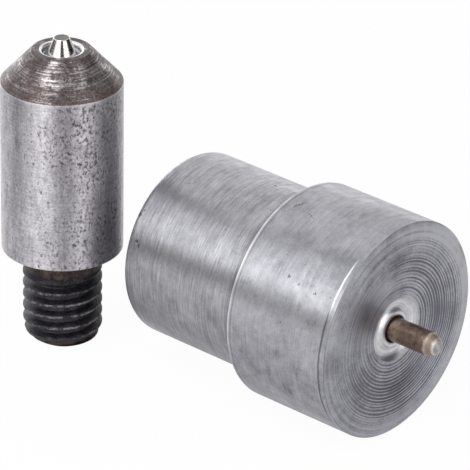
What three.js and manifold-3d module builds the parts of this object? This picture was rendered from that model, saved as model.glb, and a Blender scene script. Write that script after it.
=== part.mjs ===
// Eyelet setting die set, in millimetres, with +Z up.
// The upper punch stands on its screw shank. The lower die lies on its wide end, with its
// axis along X, and holds a centring pin that a spring pushes out of its face at +X.
import * as THREE from "three";
import { mergeVertices, toCreasedNormals } from "three/addons/utils/BufferGeometryUtils.js";
import Module from "manifold-3d";

const wasm = await Module();
wasm.setup();

// Punch: the lengths add up from the end of the shank to the tip of the nose.
const shankDiameter = 7.9;
const shankPitch = 1.25;
const shankLength = 9.65;
const shankThreadLength = 7.5;
const shankEndDiameter = 7.0;
const shankEndTaper = 1.2;
const shoulderFillet = 0.12;
const bodyDiameter = 12.1;
const bodyLength = 17.85;
const bodyEdgeRound = 0.22;
const coneLength = 3.35;
const coneEdgeRound = 0.06;
const rimDiameter = 5.9;
const rimEdgeRound = 0.1;
const craterDiameter = 4.4;
const craterRadius = 0.5;
const craterSink = 0.35;
const noseDiameter = 1.6;
const noseHeight = 1.22;
const noseEdgeRound = 0.06;

// Die: measured along its axis, from the back face to the rim of the front face.
const rearDiameter = 18.7;
const rearLength = 14.95;
const rearChamferLength = 0.35;
const rearChamferDepth = 0.2;
const stepFillet = 0.1;
const stepChamfer = 0.14;
const frontDiameter = 21.9;
const frontLength = 12.25;
const frontChamferLength = 0.35;
const frontChamferDepth = 0.35;
const rimRollLength = 0.2;
const rimRollDepth = 0.75;
const faceHollowDiameter = 19.6;
const faceHollow = 0.3;
const curlDiameter = 6.5;
const curlInnerDiameter = 3.5;
const curlDepth = 0.46;
const curlLipDrop = 0.18;
const pinHoleChamfer = 0.1;
const boreThreadDiameter = 10;
const boreThreadPitch = 1;
const boreThreadLength = 5;
const boreDepth = 15.9;
const boreMouthChamfer = 0.35;

// Centring pin, with its hidden head.
const pinDiameter = 2.4;
const pinStandOut = 4.87;
const pinTipDiameter = 1.6;
const pinTipLength = 0.85;
const pinTipRound = 0.08;
const headThickness = 1.6;
const headChamfer = 0.3;

// Spring behind the pin's head, and the slotted plug that carries it.
const springWire = 0.6;
const springTurns = 6.5;
const plugLength = 3.6;
const plugRecess = 0.7;
const plugChamfer = 0.4;
const slotWidth = 1.3;
const slotDepth = 1.5;

// Where the punch stands, from the die's back face and axis, and how far it is turned.
const punchBehindDie = 10.3;
const punchBesideAxis = 7.3;
const punchTurn = THREE.MathUtils.degToRad(222);

// Clearances on the radius, and the overrun by which a cut passes the face that it opens.
const pinClearance = 0.1;
const headClearance = 0.3;
const springClearance = 0.8;
const threadClearance = 0.08;
const overrun = 0.4;

// Thread form, as shares of the pitch: a 60 degree thread with flat crests and roots.
const threadDepthShare = 0.613;
const crestWidthShare = 0.125;
const rootWidthShare = 0.25;

const bodySides = 48;
const pinSides = 32;
const stepsPerTurn = 24;
const arcSteps = 8;
const runInTurns = 2;
const springSides = 5;
const springSteps = 8;
const creaseAngle = Math.PI / 6;

const shankRadius = shankDiameter / 2;
const bodyRadius = bodyDiameter / 2;
const rearRadius = rearDiameter / 2;
const frontRadius = frontDiameter / 2;
const boreRadius = (boreThreadDiameter - boreThreadPitch) / 2;
const pinRadius = pinDiameter / 2;
const pinHoleRadius = pinRadius + pinClearance;
const dieLength = rearLength + frontLength;
const threadSlope = (1 - rootWidthShare - crestWidthShare) / threadDepthShare;

// A closed solid from a geometry, with its shared corners welded and its empty faces left out.
function solid(geometry) {
  const bare = new THREE.BufferGeometry();
  bare.setAttribute("position", geometry.getAttribute("position"));
  bare.setIndex(geometry.getIndex());
  const welded = mergeVertices(bare);
  const corners = welded.getIndex().array;
  const faces = [];
  for (let i = 0; i < corners.length; i += 3) {
    const [a, b, c] = corners.slice(i, i + 3);
    if (a !== b && b !== c && c !== a) {
      faces.push(a, b, c);
    }
  }
  return new wasm.Manifold(new wasm.Mesh({
    numProp: 3,
    vertProperties: new Float32Array(welded.getAttribute("position").array),
    triVerts: new Uint32Array(faces),
  }));
}

// A turned solid about Z. The outline runs from the bottom up on the outside, as [radius, height].
function turned(outline, sides) {
  const points = outline.map(([radius, height]) => new THREE.Vector2(radius, height));
  const geometry = new THREE.LatheGeometry(points, sides);
  geometry.rotateX(Math.PI / 2);
  return solid(geometry);
}

// Points on an arc of the outline, from one angle to another about its centre.
function arc(centreRadius, centreHeight, radius, from, to) {
  const points = [];
  for (let i = 0; i <= arcSteps; i++) {
    const angle = from + ((to - from) * i) / arcSteps;
    points.push([centreRadius + radius * Math.cos(angle), centreHeight + radius * Math.sin(angle)]);
  }
  return points;
}

// A closed skin round rings of corners that follow each other, with a flat cap on each end.
function skin(rings) {
  const corners = rings[0].length;
  const last = (rings.length - 1) * corners;
  const faces = [];
  for (let ring = 0; ring < rings.length - 1; ring++) {
    for (let side = 0; side < corners; side++) {
      const a = ring * corners + side;
      const b = ring * corners + ((side + 1) % corners);
      faces.push(a, a + corners, b, b, a + corners, b + corners);
    }
  }
  for (let side = 1; side < corners - 1; side++) {
    faces.push(0, side, side + 1, last, last + side + 1, last + side);
  }
  const geometry = new THREE.BufferGeometry();
  geometry.setAttribute("position", new THREE.Float32BufferAttribute(rings.flat(2), 3));
  geometry.setIndex(faces);
  return geometry;
}

// A screw-shaped cut of the 60 degree form. Its mouth is on the wall that is cut and its root is
// in the metal. Over its last turn it leaves the metal again, as a threading tool does.
function screwCut({ mouthRadius, rootRadius, mouthWidth, rootWidth, pitch, start, turns }) {
  const outward = Math.sign(mouthRadius - rootRadius);
  const lift = mouthRadius - rootRadius + outward * overrun;
  const steps = Math.round(turns * stepsPerTurn);
  const section = [
    [mouthRadius + outward * overrun, -mouthWidth / 2],
    [mouthRadius + outward * overrun, mouthWidth / 2],
    [mouthRadius, mouthWidth / 2],
    [rootRadius, rootWidth / 2],
    [rootRadius, -rootWidth / 2],
    [mouthRadius, -mouthWidth / 2],
  ];
  if (outward < 0) {
    section.reverse();
  }
  const rings = [];
  for (let step = 0; step <= steps; step++) {
    const angle = (2 * Math.PI * step) / stepsPerTurn;
    const leaving = Math.max(0, 1 - (steps - step) / stepsPerTurn);
    rings.push(section.map(([radius, height]) => {
      const out = radius + lift * leaving;
      return [
        out * Math.cos(angle),
        out * Math.sin(angle),
        start + (pitch * step) / stepsPerTurn + height,
      ];
    }));
  }
  return solid(skin(rings));
}

// Widths of a thread's groove at its mouth and root, from the pitch.
function grooveWidths(pitch) {
  return { mouthWidth: pitch * (1 - crestWidthShare), rootWidth: pitch * rootWidthShare };
}

function material(colour, roughness) {
  return new THREE.MeshStandardMaterial({ color: colour, roughness, metalness: 1 });
}

function piece(name, shape, finish) {
  const mesh = shape.getMesh();
  const geometry = new THREE.BufferGeometry();
  geometry.setAttribute("position", new THREE.Float32BufferAttribute(mesh.vertProperties, 3));
  geometry.setIndex(new THREE.Uint32BufferAttribute(mesh.triVerts, 1));
  const made = new THREE.Mesh(toCreasedNormals(geometry, creaseAngle), finish);
  made.name = name;
  return made;
}

// The punch: screw shank, neck, ground body, cone, rim, forming crater and flaring nose.
function punch() {
  const shoulder = shankLength;
  const coneFoot = shoulder + bodyLength;
  const rim = coneFoot + coneLength;
  const tip = rim + noseHeight;
  const rimRadius = rimDiameter / 2;
  const noseRadius = noseDiameter / 2;
  const craterStart = Math.asin(craterSink / craterRadius);
  const craterCentre = craterDiameter / 2 - craterRadius * Math.cos(craterStart);
  const craterHeight = rim - craterSink;
  const flankRun = craterCentre - noseRadius;
  const flankDrop = tip - noseEdgeRound - craterHeight;
  const flankReach = Math.hypot(flankRun, flankDrop);
  const flankLean = Math.atan2(flankRun, flankDrop) - Math.asin(craterRadius / flankReach);
  const coneSlope = (bodyRadius - rimRadius) / coneLength;
  const outline = [
    [0, 0],
    [shankEndDiameter / 2, 0],
    [shankRadius, shankEndTaper],
    [shankRadius, shoulder - shoulderFillet],
    [shankRadius + shoulderFillet, shoulder],
    ...arc(bodyRadius - bodyEdgeRound, shoulder + bodyEdgeRound, bodyEdgeRound, -Math.PI / 2, 0),
    [bodyRadius, coneFoot - coneEdgeRound],
    [bodyRadius - coneSlope * coneEdgeRound, coneFoot + coneEdgeRound],
    [rimRadius + coneSlope * rimEdgeRound, rim - rimEdgeRound],
    [rimRadius - rimEdgeRound, rim],
    ...arc(craterCentre, craterHeight, craterRadius, craterStart, flankLean - Math.PI),
    [noseRadius, tip - noseEdgeRound],
    [noseRadius - noseEdgeRound, tip],
    [0, tip],
  ];
  const thread = screwCut({
    ...grooveWidths(shankPitch),
    mouthRadius: shankRadius,
    rootRadius: shankRadius - threadDepthShare * shankPitch,
    pitch: shankPitch,
    start: -shankPitch,
    turns: shankThreadLength / shankPitch + 1,
  });
  return turned(outline, bodySides).subtract(thread);
}

// The die: stepped body, hollowed face, curl groove round the pin hole, and the bore from behind.
function dieBody() {
  const lip = dieLength - faceHollow;
  const innerLip = lip - curlLipDrop;
  const halfChord = (curlDiameter - curlInnerDiameter) / 4;
  const curlRadius = (halfChord ** 2 + curlDepth ** 2) / (2 * curlDepth);
  const curlCentre = (curlDiameter + curlInnerDiameter) / 4;
  const curlHalfAngle = Math.asin(halfChord / curlRadius);
  const curl = arc(
    curlCentre,
    lip - curlDepth + curlRadius,
    curlRadius,
    -Math.PI / 2 + curlHalfAngle,
    -Math.PI / 2 - curlHalfAngle,
  );
  const lipShare = curlLipDrop / (2 * halfChord);
  const sunkCurl = curl.map(([radius, height]) => [
    radius,
    height - (curlDiameter / 2 - radius) * lipShare,
  ]);
  const mouthRadius = boreThreadDiameter / 2 + boreMouthChamfer;
  const outline = [
    [mouthRadius, 0],
    [rearRadius - rearChamferDepth, 0],
    [rearRadius, rearChamferLength],
    [rearRadius, rearLength - stepFillet],
    [rearRadius + stepFillet, rearLength],
    [frontRadius - stepChamfer, rearLength],
    [frontRadius, rearLength + stepChamfer],
    [frontRadius, dieLength - rimRollLength - frontChamferLength],
    [frontRadius - frontChamferDepth, dieLength - rimRollLength],
    [frontRadius - frontChamferDepth - rimRollDepth, dieLength],
    [faceHollowDiameter / 2, dieLength],
    ...sunkCurl,
    [pinHoleRadius + pinHoleChamfer, innerLip],
    [pinHoleRadius, innerLip - pinHoleChamfer],
    [pinHoleRadius, boreDepth],
    [boreRadius, boreDepth],
    [boreRadius, mouthRadius - boreRadius],
    [mouthRadius, 0],
  ];
  const rootRadius = boreThreadDiameter / 2 + threadClearance;
  const thread = screwCut({
    mouthRadius: boreRadius,
    rootRadius,
    mouthWidth: plugToothWidth(boreRadius) + 2 * threadClearance,
    rootWidth: plugToothWidth(rootRadius) + 2 * threadClearance,
    pitch: boreThreadPitch,
    start: -boreThreadPitch / 2,
    turns: boreThreadLength / boreThreadPitch + 1,
  });
  return turned(outline, bodySides).subtract(thread);
}

// The centring pin, with the head that stops it against the end of the bore.
function centringPin() {
  const tip = dieLength + pinStandOut;
  const headRadius = boreRadius - headClearance;
  const tipRadius = pinTipDiameter / 2;
  const outline = [
    [0, boreDepth - headThickness],
    [headRadius - headChamfer, boreDepth - headThickness],
    [headRadius, boreDepth - headThickness + headChamfer],
    [headRadius, boreDepth],
    [pinRadius, boreDepth],
    [pinRadius, tip - pinTipLength],
    [tipRadius, tip - pinTipRound],
    [tipRadius - pinTipRound, tip],
    [0, tip],
  ];
  return turned(outline, pinSides);
}

// How wide a tooth of the plug's thread is at a radius.
function plugToothWidth(radius) {
  const crestRadius = boreThreadDiameter / 2 - threadClearance;
  return boreThreadPitch * crestWidthShare + (crestRadius - radius) * threadSlope;
}

// The plug: a slotted screw without a head, sunk a little below the die's back face.
function retainingPlug() {
  const crestRadius = boreThreadDiameter / 2 - threadClearance;
  const front = plugRecess + plugLength;
  const outline = [
    [0, plugRecess],
    [crestRadius - plugChamfer, plugRecess],
    [crestRadius, plugRecess + plugChamfer],
    [crestRadius, front - plugChamfer],
    [crestRadius - plugChamfer, front],
    [0, front],
  ];
  const thread = screwCut({
    ...grooveWidths(boreThreadPitch),
    mouthRadius: crestRadius,
    rootRadius: crestRadius - threadDepthShare * boreThreadPitch,
    pitch: boreThreadPitch,
    start: -boreThreadPitch,
    turns: front / boreThreadPitch + runInTurns + 1,
  });
  const slot = new THREE.BoxGeometry(2 * (crestRadius + overrun), slotWidth, slotDepth + overrun);
  slot.translate(0, 0, plugRecess + (slotDepth - overrun) / 2);
  return turned(outline, bodySides).subtract(thread).subtract(solid(slot));
}

// The spring's centre line: a helix whose ends turn along the axis and stand on their seats.
function springPath() {
  const foot = plugRecess + plugLength;
  const top = boreDepth - headThickness;
  const coilRadius = boreRadius - springClearance - springWire / 2;
  const coilFoot = foot + 2 * springWire;
  const coilTop = top - 2 * springWire;
  const steps = Math.round(springTurns * springSteps);
  const place = (step, height) => {
    const angle = (2 * Math.PI * step) / springSteps;
    return new THREE.Vector3(coilRadius * Math.cos(angle), coilRadius * Math.sin(angle), height);
  };
  const points = [place(0, foot), place(0, foot + springWire)];
  for (let step = 0; step <= steps; step++) {
    points.push(place(step, coilFoot + ((coilTop - coilFoot) * step) / steps));
  }
  points.push(place(steps, top - springWire), place(steps, top));
  return points;
}

// The least gap between two stretches of the wire that are half a turn or more apart.
function leastGap(points) {
  let least = Infinity;
  for (let i = 0; i < points.length; i++) {
    for (let j = i + springSteps / 2 + 2; j < points.length; j++) {
      least = Math.min(least, points[i].distanceTo(points[j]));
    }
  }
  return least - springWire;
}

// The spring: one unbroken wire, swept as rings that stand square to its path.
function pinSpring() {
  const path = springPath();
  const rings = path.map((point, i) => {
    const before = path[Math.max(i - 1, 0)];
    const after = path[Math.min(i + 1, path.length - 1)];
    const ahead = after.clone().sub(before).normalize();
    const outward = new THREE.Vector3(point.x, point.y, 0).normalize();
    const across = new THREE.Vector3().crossVectors(outward, ahead).normalize();
    const square = new THREE.Vector3().crossVectors(ahead, across);
    const ring = [];
    for (let side = 0; side < springSides; side++) {
      const angle = (2 * Math.PI * side) / springSides;
      const corner = point.clone();
      corner.addScaledVector(square, (springWire / 2) * Math.cos(angle));
      corner.addScaledVector(across, (springWire / 2) * Math.sin(angle));
      ring.push(corner.toArray());
    }
    return ring;
  });
  console.log("spring: least gap to itself " + leastGap(path).toFixed(2) + " mm");
  return solid(skin(rings));
}

const satinSteel = material(0x9b9aa3, 0.35);
const groundSteel = material(0xa09fa8, 0.32);
const temperedSteel = material(0x6a5c52, 0.4);
const springSteel = material(0x8b8b90, 0.3);
const oxideSteel = material(0x2b2a2c, 0.5);

// The die's pieces share one axis, which is Z until the whole is laid along X. A flat of the
// wide end faces down.
const die = new THREE.Group();
die.add(piece("die_body", dieBody(), satinSteel));
die.add(piece("centring_pin", centringPin(), temperedSteel));
die.add(piece("pin_spring", pinSpring(), springSteel));
die.add(piece("retaining_plug", retainingPlug(), oxideSteel));
die.rotation.y = Math.PI / 2;
die.children.forEach((child) => {
  child.rotation.z = Math.PI / bodySides;
});
die.position.z = frontRadius * Math.cos(Math.PI / bodySides);

const punchPiece = piece("punch", punch(), groundSteel);
punchPiece.position.set(-punchBehindDie, -punchBesideAxis, 0);
punchPiece.rotation.z = punchTurn;

// The origin is the middle of the footprint of both.
const dieSet = new THREE.Group();
dieSet.add(die, punchPiece);
dieSet.updateMatrixWorld(true);
const middle = new THREE.Box3().setFromObject(dieSet, true).getCenter(new THREE.Vector3());
dieSet.position.set(-middle.x, -middle.y, 0);

export default dieSet;
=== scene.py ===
# Eyelet setting tooling: a stepped lower die that lies on its side, with a sprung centring pin
# in its face, and an upper punch that stands on its screw shank. Lengths are in millimetres.
import math
import random
from types import SimpleNamespace

import bmesh
import bpy
from mathutils import Matrix, Vector


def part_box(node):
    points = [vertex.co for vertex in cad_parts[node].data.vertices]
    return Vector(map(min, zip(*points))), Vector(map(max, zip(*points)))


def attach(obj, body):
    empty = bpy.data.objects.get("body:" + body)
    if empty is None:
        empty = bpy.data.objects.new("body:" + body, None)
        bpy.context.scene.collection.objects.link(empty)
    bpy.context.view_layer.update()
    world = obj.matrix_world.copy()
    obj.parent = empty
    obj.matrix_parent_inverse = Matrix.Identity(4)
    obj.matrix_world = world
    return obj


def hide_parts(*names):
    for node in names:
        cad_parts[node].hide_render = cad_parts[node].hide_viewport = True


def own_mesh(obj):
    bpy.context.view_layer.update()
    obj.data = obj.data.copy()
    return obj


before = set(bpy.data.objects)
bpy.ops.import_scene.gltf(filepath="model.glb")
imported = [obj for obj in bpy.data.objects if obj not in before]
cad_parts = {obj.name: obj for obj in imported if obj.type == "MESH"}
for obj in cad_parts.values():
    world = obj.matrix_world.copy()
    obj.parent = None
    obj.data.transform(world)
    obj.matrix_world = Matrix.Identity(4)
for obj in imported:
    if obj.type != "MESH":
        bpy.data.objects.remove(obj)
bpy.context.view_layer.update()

# The die body: one piece of mild steel turned from bar in two steps. Its face is faced off with
# a coarse feed, a polished curl groove surrounds the pin's hole, and the bore behind is tapped
# for the plug that closes it.
MM = 0.001
die_low, die_high = [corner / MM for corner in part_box("die_body")]
die_length = die_high.x - die_low.x
front_radius = (die_high.z - die_low.z) / 2
rear_radius = 9.34
rear_length = 14.95
rear_chamfer = (0.2, 0.35)
front_chamfer = (0.35, 0.35)
rim_roll = (0.75, 0.2)
rolled_radius = front_radius - front_chamfer[0]
rolled_height = die_length - rim_roll[1]
rim_edge = rolled_height - front_chamfer[1]
step_chamfer = 0.14
step_foot = rear_length - 0.02
face_rim_radius = 9.8
feed_outer = face_rim_radius - 0.35
face_hollow = 0.3
groove_outer = 3.25
face_slope = face_hollow / (face_rim_radius - groove_outer)
groove_inner = 1.75
groove_depth = 0.46
groove_lip_drop = 0.18
pin_hole_radius = 1.3
bore_radius = 4.5
bore_depth = 15.9
bore_mouth = 5.35
bore_thread = {"pitch": 1.0, "depth": 0.58, "start": -1.0, "end": 5.0}
feed_pitch = 0.3
rubbed_side = math.radians(235)
least_kept = 0.04
nicks = (
    (0.3, 52, 0.28), (0.6, 49, 0.2), (1.1, 68, 0.3), (1.4, 70, 0.24), (3.2, 22, 0.15),
    (5.9, 74, 0.12), (10.4, -6, 0.15), (11.2, -2, 0.16), (13.1, 17, 0.14), (14.0, 35, 0.16),
    (16.4, 15.5, 0.19), (16.6, 14, 0.22), (16.75, 12.5, 0.22), (16.9, 11, 0.19),
    (18.4, 17, 0.11), (18.65, 17.6, 0.13), (18.9, 18.2, 0.13), (19.15, 18.6, 0.11),
    (20.8, 52, 0.17), (22.1, 54, 0.2), (24.3, 55, 0.15), (26.1, 54, 0.16),
)
die_axis = Matrix.Translation(
    Vector((die_low.x, (die_low.y + die_high.y) / 2, (die_low.z + die_high.z) / 2)) * MM
) @ Matrix.Rotation(math.pi / 2, 4, "Y")


def softened(corners, steps=5):
    """An outline of (radius, height, softening) corners, each rounded over that length."""
    outline = []
    for i, (radius, height, soft) in enumerate(corners):
        corner = Vector((radius, height))
        if soft == 0:
            outline.append(corner)
            continue
        before = corner + (Vector(corners[i - 1][:2]) - corner).normalized() * soft
        after = corner + (Vector(corners[i + 1][:2]) - corner).normalized() * soft
        for step in range(steps + 1):
            share = step / steps
            outline.append(before.lerp(corner, share).lerp(corner.lerp(after, share), share))
    return outline


def groove_of(thread, angle, height):
    """How deep a screw thread is cut at this place, from 0 on its crest to 1 at its root."""
    turn = height / thread["pitch"] - angle / (2 * math.pi) + thread.get("turned", 0)
    from_root = abs(turn - round(turn))
    half_mouth, flank = 0.44, 0.31
    share = min(1, max(0, (half_mouth - from_root) / flank))
    leaving = min(1, max(0, (thread["end"] - height) / thread["pitch"]))
    entering = min(1, max(0, (height - thread["start"]) / thread["pitch"]))
    return share * share * (3 - 2 * share) * leaving * entering


def piece_of(name, mesh, place, materials, sharp=0):
    """A finished bmesh as a piece of the scene. Edges that bend by more than sharp degrees stay
    sharp."""
    made = bpy.data.meshes.new(name)
    mesh.to_mesh(made)
    mesh.free()
    if sharp:
        made.set_sharp_from_angle(angle=math.radians(sharp))
    for material in materials:
        made.materials.append(material)
    piece = bpy.data.objects.new(name, made)
    bpy.context.scene.collection.objects.link(piece)
    piece.matrix_world = place
    return piece


def turned(name, stretches, sides, axis, relief=None):
    """A turned piece from the stretches of its outline, each a (material, points) pair."""
    tiny = 1e-6
    profile = []
    for slot, (_, points) in enumerate(stretches):
        profile += [(point, slot) for point in points]
    closed = (profile[0][0] - profile[-1][0]).length < tiny
    if closed:
        profile.pop()
    mesh = bmesh.new()
    rings = []
    for point, _ in profile:
        ring = []
        on_axis = point.x < tiny
        for side in range(1 if on_axis else sides):
            angle = 2 * math.pi * side / sides
            radius, height = point
            if relief and not on_axis:
                radius, height = relief(radius, height, angle)
            place = Vector((radius * math.cos(angle), radius * math.sin(angle), height))
            ring.append(mesh.verts.new(place * MM))
        rings.append(ring)
    pairs = len(rings) if closed else len(rings) - 1
    for i in range(pairs):
        low, high = rings[i], rings[(i + 1) % len(rings)]
        slot = profile[(i + 1) % len(rings)][1]
        for side in range(sides):
            after = (side + 1) % sides
            corners = [low[side % len(low)], low[after % len(low)]]
            corners += [high[after % len(high)], high[side % len(high)]]
            face = mesh.faces.new(list(dict.fromkeys(corners)))
            face.material_index = slot
            face.smooth = True
    bmesh.ops.recalc_face_normals(mesh, faces=mesh.faces)
    return piece_of(name, mesh, axis, [material for material, _ in stretches], sharp=50)


def face_at(radius):
    """The height of the face's shallow hollow, without its feed marks."""
    return die_length - face_hollow + face_slope * (radius - groove_outer)


def feed_marks():
    """The faced ring as an outline: rings cut by the tool, of uneven pitch and depth, deepest
    about half way between the rim and the groove."""
    draw = random.Random(4)
    steps, deepest_radius, deepest_width = 8, 6.3, 2.2
    shallow, deep = 0.008, 0.05
    radius = feed_outer
    points = []
    while radius > groove_outer + 0.25:
        pitch = feed_pitch * draw.uniform(0.75, 1.3)
        strongest = math.exp(-(((radius - deepest_radius) / deepest_width) ** 2))
        depth = (shallow + (deep - shallow) * strongest) * draw.uniform(0.55, 1.2)
        for step in range(steps):
            r = radius - pitch * step / steps
            cut = depth * (1 - math.cos(2 * math.pi * step / steps)) / 2
            points.append(Vector((r, face_at(r) - cut)))
        radius -= pitch
    return points


def arc(centre, radius, start, end, steps):
    """The points of an arc in an outline, between two angles from the way outwards."""
    angles = [start + (end - start) * step / steps for step in range(steps + 1)]
    return [
        Vector((centre[0] + radius * math.cos(a), centre[1] + radius * math.sin(a)))
        for a in angles
    ]


def curl_groove():
    """The polished groove round the pin's hole, from its outer lip to its lower inner lip."""
    lip = die_length - face_hollow
    half = (groove_outer - groove_inner) / 2
    curl_radius = (half**2 + groove_depth**2) / (2 * groove_depth)
    reach = math.asin(half / curl_radius)
    centre = (groove_outer - half, lip - groove_depth + curl_radius)
    points = arc(centre, curl_radius, reach - math.pi / 2, -reach - math.pi / 2, 24)
    for point in points:
        point.y -= groove_lip_drop * (groove_outer - point.x) / (2 * half)
    return points


def threaded(radius, start, end, row):
    """A straight run of an outline past its start, in rows fine enough to carry a thread."""
    step = math.copysign(row, end - start)
    count = round((end - start) / step)
    return [Vector((radius, start + step * (i + 1))) for i in range(count)]


def linear(hex_colour):
    """An sRGB hex colour as linear red, green, blue and alpha."""
    parts = [int(hex_colour[i : i + 2], 16) / 255 for i in (1, 3, 5)]
    return [c / 12.92 if c <= 0.04045 else ((c + 0.055) / 1.055) ** 2.4 for c in parts] + [1]


def add(tree, kind, links=None, **settings):
    """Adds a node with its settings, and what its inputs take: a value, or another's output."""
    made = tree.nodes.new("ShaderNode" + kind)
    for name, value in settings.items():
        setattr(made, name, value)
    for name, value in (links or {}).items():
        if isinstance(value, bpy.types.NodeSocket):
            tree.links.new(value, made.inputs[name])
        else:
            made.inputs[name].default_value = value
    return made


def new_material(name):
    """An empty node material, with its tree and its output node."""
    material = bpy.data.materials.new(name)
    material.use_nodes = True
    material.node_tree.nodes.clear()
    return material, material.node_tree, add(material.node_tree, "OutputMaterial")


def new_finish(name, cone=1):
    """The material of a turned piece, and where a point lies on it, in mm: the point itself, the
    way round as a unit circle, the radius, the height, and the way along the outline, for which
    a cone that narrows upwards takes -1."""
    material, tree, output = new_material(name)
    point = add(tree, "TexCoord").outputs["Object"]
    point = add(tree, "VectorMath", {0: point, 1: (1 / MM,) * 3}, operation="MULTIPLY").outputs[0]
    height = add(tree, "SeparateXYZ", {0: point}).outputs[2]
    flat = add(tree, "VectorMath", {0: point, 1: (1, 1, 0)}, operation="MULTIPLY").outputs[0]
    radius = add(tree, "VectorMath", {0: flat}, operation="LENGTH").outputs["Value"]
    around = add(tree, "VectorMath", {0: flat}, operation="NORMALIZE").outputs[0]
    links = {0: radius, 1: cone, 2: height}
    along = add(tree, "Math", links, operation="MULTIPLY_ADD").outputs[0]
    return SimpleNamespace(
        material=material, tree=tree, output=output, point=point, around=around, radius=radius,
        height=height, along=along,
    )


def lines_round(at, spacing, run, seed=0.0, along=None):
    """Tool marks that run round a piece: spacing in mm across them, and run in mm along them
    where the piece is as thick as the die's stem."""
    tree, thick = at.tree, 9.0
    spread = add(tree, "VectorMath", {0: at.around, 1: (thick / run,) * 3}, operation="MULTIPLY")
    links = {0: along or at.along, 1: 1 / spacing, 2: seed}
    scaled = add(tree, "Math", links, operation="MULTIPLY_ADD")
    lift = add(tree, "CombineXYZ", {2: scaled.outputs[0]}).outputs[0]
    where = add(tree, "VectorMath", {0: spread.outputs[0], 1: lift}, operation="ADD").outputs[0]
    links = {"Vector": where, "Scale": 1.0, "Detail": 2.0, "Roughness": 0.6}
    return add(tree, "TexNoise", links).outputs["Fac"]


def grain_of(at, size, detail=3.0, shift=0.0, stretch=(1, 1, 1)):
    """Uneven patches in the metal: their size in mm, and how far they are stretched."""
    scale = tuple(1 / (size * s) for s in stretch)
    links = {0: at.point, 1: scale, 2: (shift,) * 3}
    where = add(at.tree, "VectorMath", links, operation="MULTIPLY_ADD").outputs[0]
    links = {"Vector": where, "Scale": 1.0, "Detail": detail, "Roughness": 0.65}
    return add(at.tree, "TexNoise", links).outputs["Fac"]


def weighed(tree, parts, offset=0.0):
    """The sum of several patterns, each times its weight."""
    total = offset
    for pattern, weight in parts:
        links = {0: pattern, 1: weight, 2: total}
        total = add(tree, "Math", links, operation="MULTIPLY_ADD").outputs[0]
    return total


def coats(tree, colour, layers):
    """A colour with others laid over it in turn, each where its pattern is strong. Each is an
    sRGB hex value or what another node gives."""
    for pattern, coat in layers:
        under, over = [linear(c) if isinstance(c, str) else c for c in (colour, coat)]
        links = {"Factor": pattern, "A": under, "B": over}
        colour = add(tree, "Mix", links, data_type="RGBA").outputs["Result"]
    return colour


def side_of(at, side, low, high):
    """One side of a piece: 0 to 1 as the cosine of the angle from it grows from low to high."""
    links = {0: at.around, 1: side}
    lean = add(at.tree, "VectorMath", links, operation="DOT_PRODUCT").outputs["Value"]
    return add(at.tree, "MapRange", {"Value": lean, "From Min": low, "From Max": high}).outputs[0]


def line_at(at, height, reach, core, most=1.0, bend=0.0, bent=0.0):
    """A line round a piece: at its most within core mm of a height, gone past reach, and moved
    up and down by a pattern, bent mm in all."""
    parts = [(at.height, 1.0), (bend, bent)]
    off = weighed(at.tree, parts, offset=-height - bent / 2)
    off = add(at.tree, "Math", {0: off}, operation="ABSOLUTE").outputs[0]
    links = {"Value": off, "From Min": reach, "From Max": core, "To Max": most}
    return add(at.tree, "MapRange", links).outputs[0]


def steel_shader(at, colour, rough, relief, depth, stretch=0.0, metal=1.0, strength=1.0):
    """Metal whose marks run round the piece: depth of the relief in mm, its strength, and how
    far the highlights stretch across the marks. Gives back the finished material."""
    bump = add(at.tree, "Bump", {"Height": relief, "Strength": strength, "Distance": depth * MM})
    cut = add(at.tree, "Tangent", direction_type="RADIAL", axis="Z")
    steel = add(at.tree, "BsdfPrincipled", {
        "Base Color": colour, "Roughness": rough, "Metallic": metal, "Normal": bump.outputs[0],
        "Anisotropic": stretch, "Anisotropic Rotation": 0.25, "Tangent": cut.outputs[0],
    })
    at.tree.links.new(steel.outputs[0], at.output.inputs[0])
    return at.material


def spots(at, spacing, size, share, seed):
    """Small pits: their spacing and size in mm, and the share of places that hold one."""
    tree = at.tree
    moved = add(tree, "VectorMath", {0: at.point, 1: (seed,) * 3}, operation="ADD").outputs[0]
    bent = add(tree, "TexNoise", {"Vector": moved, "Scale": 1.6 / size, "Detail": 1.0})
    links = {0: bent.outputs["Color"], 1: (size,) * 3, 2: moved}
    jitter = add(tree, "VectorMath", links, operation="MULTIPLY_ADD")
    cells = add(tree, "TexVoronoi", {"Vector": jitter.outputs[0], "Scale": 1 / spacing})
    chance = add(tree, "SeparateColor", {0: cells.outputs["Color"]}).outputs[0]
    held = add(tree, "Math", {0: chance, 1: share}, operation="LESS_THAN").outputs[0]
    edge = size / spacing / 2
    links = {"Value": cells.outputs["Distance"], "From Min": edge, "From Max": edge * 0.4}
    near = add(tree, "MapRange", links).outputs[0]
    return add(tree, "Math", {0: near, 1: held}, operation="MULTIPLY").outputs[0]


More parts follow.
